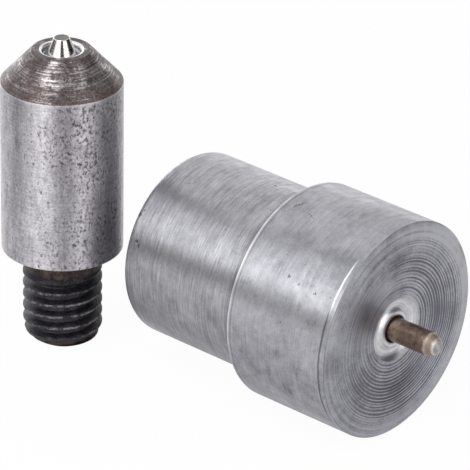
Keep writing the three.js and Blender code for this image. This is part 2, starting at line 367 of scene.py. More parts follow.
def dings(at):
    """The larger nicks in the die, each at a height, degrees round from the top, and a size."""
    tree, ragged = at.tree, 0.6
    bent = add(tree, "TexNoise", {"Vector": at.point, "Scale": 3.5, "Detail": 4.0})
    links = {0: bent.outputs["Color"], 1: (ragged,) * 3, 2: at.point}
    place = add(tree, "VectorMath", links, operation="MULTIPLY_ADD").outputs[0]
    nearest = 1.0
    for height, turn, size in nicks:
        angle = math.radians(turn)
        radius = rear_radius if height < rear_length else front_radius
        centre = Vector((-radius * math.cos(angle), -radius * math.sin(angle), height))
        centre += Vector((ragged, ragged, ragged)) / 2
        off = add(tree, "VectorMath", {0: place, 1: tuple(centre)}, operation="DISTANCE")
        share = add(tree, "Math", {0: off.outputs["Value"], 1: 1 / size}, operation="MULTIPLY")
        links = {0: share.outputs[0], 1: nearest}
        nearest = add(tree, "Math", links, operation="MINIMUM").outputs[0]
    links = {"Value": nearest, "From Min": 1.1, "From Max": 0.3, "To Max": 0.85}
    return add(tree, "MapRange", links).outputs[0]


def turned_steel():
    """Mild steel, turned and left bare. Fine cuts run round it, so highlights stretch along the
    piece and break up into lines, with slight tarnish in clouds and a few small pits. Painted
    shade darkens its lower side, before the step and along the rim, and painted highlights
    lie on the edge of the step and on the rim's edge."""
    at = new_finish("turned_steel")
    tree = at.tree
    # A finishing cut feeds about 0.05 mm a turn. That is finer than the picture shows, so the
    # cuts are drawn 0.13 mm apart, and the waver of the tool 0.3 mm apart.
    fine = lines_round(at, spacing=0.13, run=2.5)
    coarse = lines_round(at, spacing=0.3, run=9, seed=40.0)
    clouds = grain_of(at, 3.0, detail=6.0)
    smears = grain_of(at, 1.1, detail=4.0, shift=11.0, stretch=(1, 1, 0.8))
    grain = grain_of(at, 0.15, detail=2.0)
    links = {"Value": at.height, "From Min": rear_length - 0.1, "From Max": rear_length + 0.3}
    past_step = add(tree, "MapRange", links).outputs[0]
    lines = weighed(tree, [(fine, 1.0), (coarse, 0.35)], offset=-0.68)
    kept = add(tree, "MapRange", {"Value": past_step, "To Min": 1.0, "To Max": 0.5}).outputs[0]
    lines = add(tree, "Math", {0: lines, 1: kept}, operation="MULTIPLY").outputs[0]
    # Painted shade darkens the lower side, more near the back end, and a painted shade streak
    # along the front dims its highlight.
    below = side_of(at, (0, -1, 0), 0.75, 0.9)
    near_end = add(tree, "MapRange", {"Value": at.height, "From Min": 5.0, "From Max": 0})
    darker_near_end = add(tree, "Math", {0: below, 1: near_end.outputs[0]}, operation="MULTIPLY").outputs[0]
    under = side_of(at, (0.34, -0.94, 0), 0.85, 1.0)
    painted_shade_streak = side_of(at, (-0.755, -0.656, 0), 0.97, 0.995)
    painted_shade_streak = add(tree, "Math", {0: painted_shade_streak, 1: past_step}, operation="MULTIPLY").outputs[0]
    marks = weighed(tree, [
        (lines, 1.0), (clouds, 0.9), (smears, 0.6), (grain, 0.5), (under, -0.2), (darker_near_end, -0.2),
        (painted_shade_streak, -0.22),
    ], offset=-0.1)
    tone = add(tree, "MapRange", {"Value": marks, "From Min": 0.5, "From Max": 1.25}).outputs[0]
    rear = coats(tree, "#8c8c92", [(tone, "#cacad0")])
    front = coats(tree, "#929299", [(tone, "#cfcfd5")])
    # Painted highlights: a bright line on the edge of the step, strongest on one side, and a
    # glint on the rim's edge on one side.
    links = {0: at.around, 1: (-0.53, -0.85, 0)}
    step_highlight_side = add(tree, "VectorMath", links, operation="DOT_PRODUCT").outputs["Value"]
    step_highlight_side = weighed(tree, [(step_highlight_side, 1.0), (smears, 0.8)], offset=-0.4)
    links = {"Value": step_highlight_side, "From Min": 0.6, "From Max": 0.95, "To Min": 0.3}
    step_highlight_side = add(tree, "MapRange", links).outputs[0]
    # The bright line on the step is a painted highlight.
    rubbed = line_at(at, rear_length + step_chamfer / 2, 0.3, 0.12)
    rubbed = add(tree, "Math", {0: rubbed, 1: step_highlight_side}, operation="MULTIPLY").outputs[0]
    glint_side = side_of(at, (-0.67, -0.74, 0), 0.95, 0.98)
    painted_rim_glint = line_at(at, rim_edge + 0.02, 0.13, 0.05, bend=smears, bent=0.16)
    painted_rim_glint = add(tree, "Math", {0: painted_rim_glint, 1: glint_side}, operation="MULTIPLY").outputs[0]
    # Painted shade lies before the step and in a line just past it, and along the rim's edge on
    # the lower side; dark scuffs lie on the lower side past the step.
    to_step = weighed(tree, [(at.height, 1.0), (smears, 0.8)], offset=-rear_length - 0.4)
    links = {"Value": to_step, "From Min": -1.9, "From Max": -1.1, "To Max": 0.5}
    shaded = add(tree, "MapRange", links).outputs[0]
    links = {"Factor": past_step, "A": shaded, "B": 0.0}
    shaded = add(tree, "Mix", links, data_type="FLOAT").outputs["Result"]
    painted_crease_shade = line_at(at, rear_length + 0.5, 0.14, 0.04, 0.4, smears, 0.3)
    scuffs = grain_of(at, 1.9, detail=6.0, shift=31.0, stretch=(1, 1, 0.6))
    links = {"Value": scuffs, "From Min": 0.52, "From Max": 0.72, "To Max": 0.6}
    scuffs = add(tree, "MapRange", links).outputs[0]
    for held in (below, past_step):
        scuffs = add(tree, "Math", {0: scuffs, 1: held}, operation="MULTIPLY").outputs[0]
    painted_rim_shade = line_at(at, rim_edge - 0.03, 0.15, 0.06, 0.75, smears, 0.2)
    painted_rim_shade = add(tree, "Math", {0: painted_rim_shade, 1: below}, operation="MULTIPLY").outputs[0]
    pits = spots(at, spacing=1.7, size=0.2, share=0.25, seed=3)
    pits = add(tree, "Math", {0: pits, 1: dings(at)}, operation="MAXIMUM").outputs[0]
    flaws_and_shade = pits
    for darkening in (shaded, painted_crease_shade, scuffs, painted_rim_shade):
        flaws_and_shade = add(tree, "Math", {0: flaws_and_shade, 1: darkening}, operation="MAXIMUM").outputs[0]
    # The pale coats are painted highlights; the dark coat covers the pits, nicks and scuffs and
    # the painted shade.
    colour = coats(tree, rear, [
        (past_step, front), (rubbed, "#f2f2f5"), (painted_rim_glint, "#fafafc"), (flaws_and_shade, "#48454a"),
    ])
    links = {"Value": marks, "From Min": 0.5, "From Max": 1.25, "To Min": 0.42, "To Max": 0.3}
    rough = weighed(tree, [(past_step, 0.02)], offset=add(tree, "MapRange", links).outputs[0])
    relief = weighed(tree, [(lines, 1.0), (grain, 0.2), (pits, -0.6)])
    return steel_shader(at, colour, rough, relief, depth=0.034, stretch=0.72)


def faced_steel():
    """The face of the die, faced with a coarse feed: the rings of the feed marks are darker in
    their valleys. One side, where the marks are rubbed smooth, is painted darker as shade, and a
    dark patch by the groove is partly a stain and partly painted shade."""
    at = new_finish("faced_steel")
    tree = at.tree
    links = {0: at.radius, 1: face_slope, 2: face_at(0)}
    level = add(tree, "Math", links, operation="MULTIPLY_ADD").outputs[0]
    sunk = add(tree, "Math", {0: level, 1: at.height}, operation="SUBTRACT").outputs[0]
    valley = add(tree, "MapRange", {"Value": sunk, "From Max": 0.02}).outputs[0]
    links = {"Value": at.radius, "From Min": feed_outer + 0.15, "From Max": feed_outer - 0.15}
    inside = add(tree, "MapRange", links).outputs[0]
    valley = add(tree, "Math", {0: valley, 1: inside}, operation="MULTIPLY").outputs[0]
    # The feed marks are in the shape. The tool's scratches between them, some 0.02 mm apart, are
    # drawn 0.13 mm apart so that they show.
    rings = lines_round(at, spacing=0.13, run=20, along=at.radius)
    clouds = grain_of(at, 2.6, detail=5.0, shift=5.0)
    grain = grain_of(at, 0.18, detail=2.0)
    # Painted shade: the side where the marks are rubbed smooth is darker.
    smooth = side_of(at, (-0.42, -0.91, 0), -0.3, 0.5)
    marks = weighed(tree, [
        (rings, 0.9), (clouds, 1.1), (grain, 0.6), (valley, -0.7), (inside, -0.05),
        (smooth, -0.24),
    ], offset=-0.03)
    tone = add(tree, "MapRange", {"Value": marks, "From Min": 0.65, "From Max": 1.3}).outputs[0]
    # A dark patch by the groove, partly a stain and partly painted shade.
    links = {0: at.point, 1: (-3.1, -4.6, die_length)}
    from_dark_patch = add(tree, "VectorMath", links, operation="DISTANCE").outputs["Value"]
    reach = weighed(tree, [(from_dark_patch, -0.28), (clouds, 1.6), (grain, 0.5)], offset=-0.15)
    stain_and_shade = add(tree, "MapRange", {"Value": reach, "From Max": 0.9, "To Max": 0.8}).outputs[0]
    colour = coats(tree, "#6a6972", [(tone, "#b0b0b7"), (stain_and_shade, "#4f4e56")])
    links = {"Value": marks, "From Min": 0.65, "From Max": 1.3, "To Min": 0.46, "To Max": 0.34}
    rough = add(tree, "MapRange", links).outputs[0]
    relief = weighed(tree, [(rings, 1.0), (grain, 0.3)])
    return steel_shader(at, colour, rough, relief, depth=0.02, stretch=0.65)


def burnished_steel(name, low, high, roughest, shade_radius=0.0):
    """The same steel, polished where the metal of the eyelet slides: bright, with faint rings
    left in it, and painted shade inside the radius where a pin comes through, for the shadow
    round the pin in its hole."""
    at = new_finish(name)
    tree = at.tree
    # Polishing scratches, about 0.01 mm wide, are drawn 0.12 mm apart so that they show.
    rings = lines_round(at, spacing=0.12, run=12)
    marks = weighed(tree, [(rings, 1.0), (grain_of(at, 0.7), 0.6)])
    tone = add(tree, "MapRange", {"Value": marks, "From Min": 0.55, "From Max": 1.05}).outputs[0]
    # Painted shade round the pin's hole, inside the given radius.
    links = {"Value": at.radius, "From Min": shade_radius, "From Max": shade_radius - 0.25}
    pin_hole_shade = add(tree, "MapRange", links).outputs[0]
    colour = coats(tree, low, [(tone, high), (pin_hole_shade, "#2c2829")])
    links = {"Value": marks, "From Min": 0.5, "From Max": 1.1, "To Min": roughest}
    links["To Max"] = roughest * 0.6
    rough = add(tree, "MapRange", links).outputs[0]
    return steel_shader(at, colour, rough, marks, depth=0.006, stretch=0.2)


def die_relief(radius, height, angle):
    """Cuts the plug's thread into the bore, and rubs the feed marks away on one side."""
    if height > die_length - 2 * face_hollow and radius > groove_outer + 0.1:
        level = face_at(radius)
        if height < level:
            kept = max(least_kept, 0.5 - 0.62 * math.cos(angle - rubbed_side))
            return radius, level - kept * (level - height)
    if radius > bore_radius + 0.01 or height > bore_thread["end"]:
        return radius, height
    return radius + bore_thread["depth"] * groove_of(bore_thread, angle, height), height


outside = softened([
    (bore_mouth, 0, 0),
    (rear_radius - rear_chamfer[0], 0, 0.1),
    (rear_radius, rear_chamfer[1], 0.2),
    (rear_radius, step_foot, 0.06),
    (front_radius - step_chamfer, step_foot, 0.05),
    (front_radius, rear_length + step_chamfer, 0.06),
    (front_radius, rim_edge, 0.03),
    (rolled_radius, rolled_height, 0),
])[:-1]
rolled_rim = softened([
    (front_radius, rim_edge, 0),
    (rolled_radius, rolled_height, 0.25),
    (rolled_radius - rim_roll[0], die_length, 0.4),
    (feed_outer + 0.01, die_length - 0.02, 0),
])[1:]
inner_lip = die_length - face_hollow - groove_lip_drop
hole_mouth = softened([
    (groove_inner, inner_lip, 0),
    (pin_hole_radius + 0.1, inner_lip, 0.04),
    (pin_hole_radius, inner_lip - 0.1, 0),
])
bore = [Vector((pin_hole_radius, bore_depth)), Vector((bore_radius, bore_depth))]
bore.append(Vector((bore_radius, bore_thread["end"])))
bore += threaded(bore_radius, bore_thread["end"], bore_mouth - bore_radius, row=0.05)
bore.append(Vector((bore_mouth, 0)))
turned_finish = turned_steel()
faced_finish = faced_steel()
groove_finish = burnished_steel("burnished_groove", "#b6b6ba", "#e4e4e8", 0.52, 1.6)
die_body = turned("die_body_turned", [
    (turned_finish, outside),
    (faced_finish, rolled_rim + feed_marks()),
    (faced_finish, [Vector((groove_outer, die_length - face_hollow))]),
    (groove_finish, curl_groove()[1:] + hole_mouth),
    (turned_finish, bore),
], sides=256, axis=die_axis, relief=die_relief)
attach(die_body, "die")
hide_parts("die_body")

# The centring pin: hardened steel rod, tempered brown, with a tapered end that finds the hole of
# the eyelet. The head behind it stops against the end of the bore.
pin_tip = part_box("centring_pin")[1].x / MM - die_low.x
pin_radius = 1.19
pin_tip_radius = 0.8
pin_taper = 0.85
head_radius = 4.2
head_back = bore_depth - 1.6
head_chamfer = 0.3
head_front = bore_depth - 0.02


def tempered_steel():
    """Hardened steel, tempered until an oxide film turned it brown, and rubbed brighter where
    eyelets slide over its tip. Painted highlights lie along both edges of its taper."""
    at = new_finish("tempered_steel")
    tree = at.tree
    # The grinding marks are finer than the picture shows, and are drawn 0.14 mm apart.
    rings = lines_round(at, spacing=0.14, run=3)
    film = grain_of(at, 0.55, detail=4.0)
    patches = grain_of(at, 1.6, detail=2.0, shift=9.0)
    mixed = weighed(tree, [(rings, 0.4), (film, 1.0), (patches, 0.7)])
    shade = add(tree, "MapRange", {"Value": mixed, "From Min": 0.75, "From Max": 1.35}).outputs[0]
    past_edge = weighed(tree, [(at.height, 1.0), (film, 0.3)], offset=pin_taper - pin_tip - 0.15)
    links = {"Value": past_edge, "From Min": -0.15, "From Max": 0.15}
    worn = add(tree, "MapRange", links).outputs[0]
    links = {"Value": at.height, "From Min": pin_tip - 0.03, "From Max": pin_tip}
    end = add(tree, "MapRange", links).outputs[0]
    # Painted highlights along the edges where the taper starts and ends.
    taper_edge_highlight = line_at(at, pin_tip - pin_taper, 0.25, 0, 0.4, film, 0.4)
    tip_edge_highlight = line_at(at, pin_tip - 0.1, 0.2, 0, 0.8, film, 0.4)
    colour = coats(tree, "#5d4c42", [
        (shade, "#b49f8c"), (worn, "#94867a"), (end, "#807c82"), (taper_edge_highlight, "#dbd6d2"),
        (tip_edge_highlight, "#dbd6d2"),
    ])
    links = {"Value": mixed, "From Min": 0.85, "From Max": 1.25, "To Min": 0.4, "To Max": 0.26}
    rough = weighed(tree, [(worn, 0.2)], offset=add(tree, "MapRange", links).outputs[0])
    return steel_shader(at, colour, rough, mixed, depth=0.03, stretch=0.4)


pin_outline = softened([
    (0, head_back, 0),
    (head_radius - head_chamfer, head_back, 0.06),
    (head_radius, head_back + head_chamfer, 0.06),
    (head_radius, head_front, 0.05),
    (pin_radius, head_front, 0),
    (pin_radius, pin_tip - pin_taper, 0.2),
    (pin_tip_radius, pin_tip - 0.08, 0.08),
    (pin_tip_radius - 0.1, pin_tip, 0.05),
    (0, pin_tip, 0),
])
centring_pin = turned("centring_pin_tempered", [(tempered_steel(), pin_outline)], 96, die_axis)
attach(centring_pin, "pin")
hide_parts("centring_pin")

# The spring behind the pin's head: music wire wound cold, with a closed turn at each end. It
# lies hidden in the bore and pushes the pin out.
spring_low, spring_high = [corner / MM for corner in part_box("pin_spring")]
wire_radius = 0.3
coil_radius = 3.4
spring_turns = 6.5
closed_turns = 1
closed_pitch = 2.1 * wire_radius


def spring_wire():
    """Cold drawn music wire: smooth and grey, with fine draw marks along the wire."""
    at = new_finish("spring_wire")
    links = {"Vector": at.point, "Scale": 9.0, "Detail": 3.0}
    drawn = add(at.tree, "TexNoise", links).outputs["Fac"]
    colour = coats(at.tree, "#77777c", [(drawn, "#a5a5aa")])
    rough = add(at.tree, "MapRange", {"Value": drawn, "To Min": 0.2, "To Max": 0.38}).outputs[0]
    return steel_shader(at, colour, rough, drawn, depth=0.005, strength=0.2)


def wound_spring(name, material):
    """The wire as a tube along a helix, whose pitch closes up at both ends."""
    foot = spring_low.x - die_low.x + wire_radius
    top = spring_high.x - die_low.x - wire_radius
    turns = spring_turns + 2 * closed_turns
    open_pitch = (top - foot - 2 * closed_pitch * closed_turns) / spring_turns
    wire_sides = 12
    steps = round(turns * 32)
    up = Vector((0, 0, 1))
    mesh = bmesh.new()
    rings = []
    for step in range(steps + 1):
        turn = turns * step / steps
        opened = min(turn, turns - closed_turns) - min(turn, closed_turns)
        height = foot + closed_pitch * (turn - opened) + open_pitch * opened
        angle = 2 * math.pi * turn
        out = Vector((math.cos(angle), math.sin(angle), 0))
        centre = out * coil_radius + up * height
        rings.append([
            mesh.verts.new((centre + wire_radius * (out * math.cos(a) + up * math.sin(a))) * MM)
            for a in (2 * math.pi * side / wire_sides for side in range(wire_sides))
        ])
    for low, high in zip(rings, rings[1:]):
        for side in range(wire_sides):
            after = (side + 1) % wire_sides
            face = mesh.faces.new((low[side], low[after], high[after], high[side]))
            face.smooth = True
    mesh.faces.new(rings[0])
    mesh.faces.new(rings[-1])
    bmesh.ops.recalc_face_normals(mesh, faces=mesh.faces)
    return piece_of(name, mesh, die_axis, [material], sharp=60)


pin_spring = wound_spring("pin_spring_wound", spring_wire())
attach(pin_spring, "die")
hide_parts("pin_spring")
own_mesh(pin_spring)

# The plug: a headless slotted screw, blackened, that closes the bore and carries the spring.
# Its thread is cut on the lathe and its slot is milled.
plug_low, plug_high = [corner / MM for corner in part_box("retaining_plug")]
plug_foot = plug_low.x - die_low.x
plug_top = plug_high.x - die_low.x
plug_radius = 4.92
plug_thread = {"pitch": 1.0, "depth": 0.6, "start": -2.0, "end": 9.0, "turned": 0.5}
plug_chamfer = 0.4
slot_width = 1.3
slot_depth = 1.5


def black_oxide():
    """Steel blackened in hot salts and oiled: a thin, dark, satin film, uneven in clouds."""
    at = new_finish("black_oxide")
    links = {"Vector": at.point, "Scale": 0.9, "Detail": 6.0, "Roughness": 0.7}
    film = add(at.tree, "TexNoise", links).outputs["Fac"]
    links = {"Value": film, "From Min": 0.35, "From Max": 0.75}
    colour = coats(at.tree, "#232225", [(add(at.tree, "MapRange", links).outputs[0], "#454448")])
    rough = add(at.tree, "MapRange", {"Value": film, "To Min": 0.35, "To Max": 0.6}).outputs[0]
    return steel_shader(at, colour, rough, film, depth=0.02, metal=0.8, strength=0.3)


def plug_relief(radius, height, angle):
    """Cuts the thread into the plug's rim."""
    cut = plug_radius - plug_thread["depth"] * groove_of(plug_thread, angle, height)
    return min(radius, cut), height


plug_outline = softened([
    (0, plug_foot, 0),
    (plug_radius - plug_chamfer, plug_foot, 0.05),
    (plug_radius, plug_foot + plug_chamfer, 0),
])
plug_outline += threaded(
    plug_radius, plug_foot + plug_chamfer, plug_top - plug_chamfer, row=0.05
)
plug_outline += [Vector((plug_radius - plug_chamfer, plug_top)), Vector((0, plug_top))]
retaining_plug = turned(
    "retaining_plug_slotted", [(black_oxide(), plug_outline)], 128, die_axis, plug_relief
)
cutter = bmesh.new()
bmesh.ops.create_cube(cutter, size=1)
cutter_height = 1.2 * slot_depth
cutter_middle = plug_foot + slot_depth - cutter_height / 2
for corner in cutter.verts:
    x, y, z = corner.co
    x, y, z = x * 3 * plug_radius, y * slot_width, cutter_middle + z * cutter_height
    corner.co = Vector((x, y, z)) * MM
slot_cut = piece_of("slot_tool", cutter, die_axis, [])
boolean = retaining_plug.modifiers.new("slot", "BOOLEAN")
boolean.operation = "DIFFERENCE"
boolean.object = slot_cut
bpy.context.view_layer.update()
cut_mesh = bpy.data.meshes.new_from_object(
    retaining_plug.evaluated_get(bpy.context.evaluated_depsgraph_get())
)
retaining_plug.modifiers.clear()
retaining_plug.data = cut_mesh
bpy.data.objects.remove(slot_cut)
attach(retaining_plug, "die")
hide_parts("retaining_plug")

# The punch: one bar turned to a screw shank, a ground body and a cone, and hardened at the nose.
# Its shank is black from the heat, its body ground bright and lightly pitted, and its cone keeps
# a brown scale round the polished groove and nose that flare the eyelet.
punch_low, punch_high = [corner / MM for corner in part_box("punch")]
punch_axis = Matrix.Translation(
    Vector(((punch_low.x + punch_high.x) / 2, (punch_low.y + punch_high.y) / 2, 0)) * MM
)
punch_tip = punch_high.z
body_radius = (punch_high.x - punch_low.x) / 2
shank_radius = 3.95
shank_end_radius = 3.5
shank_taper = 1.2
neck_fillet = 0.12
shoulder = 9.65
cone_foot = 27.5
rim = 30.85
rim_radius = 2.95
crater_edge = 2.2
lip_radius = 0.28
crater_sink = 0.45
nose_radius = 0.8
nose_round = 0.05
nose_end_radius = 0.64
pitted_side = (0.955, -0.3, 0)
shank_thread = {
    "pitch": 1.25, "depth": 0.766, "start": -2.5, "end": 7.7,
    "turned": math.radians(222) / (2 * math.pi),
}


def shank_oxide():
    """Hot scale on the shank: nearly black, rusty just under the shoulder, and rubbed to grey
    spots on the crests of the thread. Just under the shoulder it is also painted darker, as the
    shade that the shoulder casts."""
    at = new_finish("shank_oxide")
    tree = at.tree
    film = grain_of(at, 0.9, detail=5.0)
    both = weighed(tree, [(film, 1.0), (grain_of(at, 0.2), 0.8)])
    neck, foot, below_neck = [
        add(tree, "MapRange", {"Value": at.height, "From Min": low, "From Max": high}).outputs[0]
        for low, high in ((6.8, 8.0), (1.6, 0.4), (7.0, 6.4))
    ]
    # Painted shade: the scale is darker towards the neck, under the shoulder.
    thick = weighed(tree, [(both, 1.0), (neck, -0.35)])
    shade = add(tree, "MapRange", {"Value": thick, "From Min": 0.65, "From Max": 1.15}).outputs[0]
    rubbed = add(tree, "MapRange", {"Value": both, "From Min": 0.86, "From Max": 1.04}).outputs[0]
    links = {"Value": at.radius, "From Min": shank_radius - 0.07, "From Max": shank_radius - 0.01}
    crest = add(tree, "MapRange", links).outputs[0]
    for held in (below_neck, rubbed):
        crest = add(tree, "Math", {0: crest, 1: held}, operation="MULTIPLY").outputs[0]
    ends = weighed(tree, [(neck, 0.35), (foot, 0.32), (film, 1.0)])
    rusty = add(tree, "MapRange", {"Value": ends, "From Min": 0.77, "From Max": 0.95}).outputs[0]
    colour = coats(tree, "#1f1e21", [(shade, "#504d54"), (crest, "#858183"), (rusty, "#463225")])
    links = {"Value": both, "From Min": 0.65, "From Max": 1.15, "To Min": 0.34, "To Max": 0.56}
    rough = add(tree, "MapRange", links).outputs[0]
    metal = add(tree, "MapRange", {"Value": rusty, "To Min": 0.8, "To Max": 0.2}).outputs[0]
    return steel_shader(at, colour, rough, both, depth=0.05, metal=metal)


def ground_steel():
    """Steel ground on centres to a satin. Rust has eaten small pits into it, thickest on one
    side and near the cone, where a brown tarnish joins them."""
    at = new_finish("ground_steel")
    tree = at.tree
    # Grinding marks, about 0.01 mm wide, are drawn 0.16 mm apart so that they show.
    fine = lines_round(at, spacing=0.16, run=2.5)
    mottle = grain_of(at, 0.8, detail=5.0, stretch=(1, 1, 2.6))
    streaks = grain_of(at, 0.5, shift=8.0, stretch=(1, 1, 5))
    grain = grain_of(at, 0.17, detail=4.0, stretch=(1, 1, 1.3))
    clouds = grain_of(at, 3.2, shift=4.0)
    blots = grain_of(at, 0.3, shift=21.0, stretch=(1, 1, 1.2))
    side = side_of(at, pitted_side, 0.3, 1.0)
    links = {"Value": at.height, "From Min": shoulder, "From Max": cone_foot}
    near_cone = add(tree, "MapRange", links).outputs[0]
    eaten = weighed(tree, [(side, 0.34), (near_cone, 0.1), (clouds, 0.6)], offset=-0.35)
    specks = weighed(tree, [(blots, 1.0), (grain, 0.35), (mottle, 0.3), (eaten, 0.55)])
    pits = add(tree, "MapRange", {"Value": specks, "From Min": 0.98, "From Max": 1.18}).outputs[0]
    small = spots(at, spacing=0.8, size=0.26, share=0.22, seed=1)
    pits = add(tree, "Math", {0: pits, 1: small}, operation="MAXIMUM").outputs[0]
    marks = weighed(
        tree, [(fine, 0.4), (mottle, 0.85), (streaks, 0.4), (clouds, 0.3), (grain, 1.1)]
    )
    tone = add(tree, "MapRange", {"Value": marks, "From Min": 1.25, "From Max": 1.85}).outputs[0]
    tarnish = add(tree, "MapRange", {"Value": eaten, "To Max": 0.55}).outputs[0]
    above = weighed(tree, [(at.height, 1.0), (mottle, 0.3)], offset=-cone_foot - 0.15)
    links = {"Value": above, "From Min": -0.35, "From Max": -0.1, "To Max": 0.5}
    edge = add(tree, "MapRange", links).outputs[0]
    colour = coats(tree, "#9c99a0", [
        (tone, "#e6e4ea"), (tarnish, "#8f8685"), (pits, "#4e474a"), (edge, "#d2cfd2"),
    ])
    links = {"Value": marks, "From Min": 1.25, "From Max": 1.85, "To Min": 0.54, "To Max": 0.4}
    rough = add(tree, "MapRange", links).outputs[0]
    metal = add(tree, "MapRange", {"Value": pits, "To Min": 1.0, "To Max": 0.6}).outputs[0]
    relief = weighed(tree, [(fine, 0.1), (streaks, 0.3), (grain, 0.5), (pits, -0.5)])
    return steel_shader(at, colour, rough, relief, depth=0.035, stretch=0.85, metal=metal)


def scaled_steel():
    """The cone: turned rings under a brown scale left by the hardening fire. The scale has
    rubbed off the ridges of the rings, and lies thickest near the body. One side is painted
    brighter as a highlight, and another darker as shade."""
    at = new_finish("scaled_steel", cone=-1)
    tree = at.tree
    rings = lines_round(at, spacing=0.24, run=14)
    # The cuts between the rings are finer than the picture shows, and are drawn 0.13 mm apart.
    fine = lines_round(at, spacing=0.13, run=6, seed=20.0)
    scale = grain_of(at, 1.1, detail=6.0)
    grain = grain_of(at, 0.2)
    patches = grain_of(at, 1.5, detail=6.0, shift=17.0)
    low, high = [
        add(tree, "MapRange", {"Value": at.height, "From Min": none, "From Max": full}).outputs[0]
        for none, full in ((cone_foot + 1.4, cone_foot), (rim - 1.3, rim - 0.2))
    ]
    # More bare metal on one side as a painted highlight, less on another as painted shade.
    cone_highlight_side = side_of(at, (0.469, -0.883, 0), 0.965, 0.995)
    cone_shade_side = side_of(at, (0.07, -0.998, 0), 0.93, 0.995)
    marks = weighed(tree, [
        (rings, 0.9), (fine, 0.5), (scale, 1.1), (grain, 0.6), (low, -0.2), (high, -0.1),
        (cone_highlight_side, 0.09), (cone_shade_side, -0.12),
    ], offset=-0.02)
    bared = add(tree, "MapRange", {"Value": marks, "From Min": 1.48, "From Max": 1.84}).outputs[0]
    blurred = weighed(tree, [(grain, 0.6), (scale, 0.7), (fine, 0.5)])
    shade = add(tree, "MapRange", {"Value": blurred, "From Min": 0.75, "From Max": 1.1}).outputs[0]
    crumbs = add(tree, "MapRange", {"Value": grain, "From Min": 0.36, "From Max": 0.62}).outputs[0]
    rust = coats(tree, "#33271f", [(crumbs, "#7e6d66")])
    rusty = weighed(tree, [(scale, 0.4), (patches, 0.8), (low, 0.15)])
    links = {"Value": rusty, "From Min": 0.64, "From Max": 0.82, "To Max": 0.8}
    rusty = add(tree, "MapRange", links).outputs[0]
    colour = coats(tree, "#3c3233", [(shade, "#7b7071"), (bared, "#c2bfc1"), (rusty, rust)])
    rough = add(tree, "MapRange", {"Value": bared, "To Min": 0.46, "To Max": 0.24}).outputs[0]
    metal = add(tree, "MapRange", {"Value": bared, "To Min": 0.5, "To Max": 1.0}).outputs[0]
    relief = weighed(tree, [(rings, 1.0), (fine, 0.5), (grain, 0.3)])
    return steel_shader(at, colour, rough, relief, depth=0.05, stretch=0.6, metal=metal)


def shank_relief(radius, height, angle):
    """Cuts the thread into the shank, out to nothing under the neck."""
    if height > shank_thread["end"]:
        return radius, height
    cut = shank_radius - shank_thread["depth"] * groove_of(shank_thread, angle, height)
    return min(radius, cut), height


def cone_rings():
    """The cone as an outline: tool rings, deepest and closest together just under the rim."""
    draw = random.Random(9)
    steps, widest, narrowest = 6, 0.34, 0.24
    shallow, deep = 0.008, 0.042
    foot, top = Vector((body_radius, cone_foot)), Vector((rim_radius, rim))
    run = top - foot
    inwards = Vector((-run.y, run.x)).normalized()
    left = run.length - 0.25
    points = []
    while left > 0.3:
        nearness = 1 - left / run.length
        pitch = (widest - (widest - narrowest) * nearness) * draw.uniform(0.7, 1.3)
        depth = (shallow + (deep - shallow) * nearness**2) * draw.uniform(0.4, 1.2)
        for step in range(steps):
            place = foot + run * (1 - (left - pitch * step / steps) / run.length)
            cut = depth * (1 - math.cos(2 * math.pi * step / steps)) / 2
            points.append(place + inwards * cut)
        left -= pitch
    return points


first_crest, taper_rows = Vector((shank_radius, shank_taper)), 16
shank_outline = softened([(0, 0, 0), (shank_end_radius, 0, 0.1), (*first_crest, 0)])[:-1]
shank_outline += [
    Vector((shank_end_radius, 0)).lerp(first_crest, row / taper_rows)
    for row in range(2, taper_rows + 1)
]
shank_outline += threaded(shank_radius, shank_taper, shank_thread["end"], row=0.06)
neck_top = (shank_radius + neck_fillet, shoulder)
shank_outline += [Vector((shank_radius, shoulder - neck_fillet)), Vector(neck_top)]
body_outline = softened([
    (*neck_top, 0),
    (body_radius, shoulder, 0.22),
    (body_radius, cone_foot, 0.05),
    (rim_radius, rim, 0),
])[1:-1]
cone_outline = cone_rings() + softened([
    (body_radius, cone_foot, 0),
    (rim_radius, rim, 0.1),
    (crater_edge, rim, 0),
])[1:]
# The groove's wall is upright below its rounded lip, and its round bottom runs into the flank of
# the nose. Its radius follows from the wall, the depth and the lean of that flank.
nose_top = Vector((nose_radius, punch_tip - nose_round))
flank_lean = math.radians(22.5)
wall_radius = crater_edge - lip_radius
sink_below_nose = nose_top.y - (rim - crater_sink)
crater_radius = (
    (wall_radius - nose_radius) * math.cos(flank_lean) - sink_below_nose * math.sin(flank_lean)
) / (1 + math.cos(flank_lean))
lip_outline = arc((crater_edge, rim - lip_radius), lip_radius, math.pi / 2, math.pi, 12)
crater_centre = (wall_radius - crater_radius, rim - crater_sink)
crater_outline = arc(crater_centre, crater_radius, 0, flank_lean - math.pi, 20)
nose_outline = softened([
    (*crater_outline[-1], 0),
    (*nose_top, 0.04),
    (nose_radius - nose_round, punch_tip, 0.03),
    (nose_end_radius, punch_tip, 0),
])[1:-1]
nose_end = [Vector((nose_end_radius, punch_tip)), Vector((0, punch_tip))]
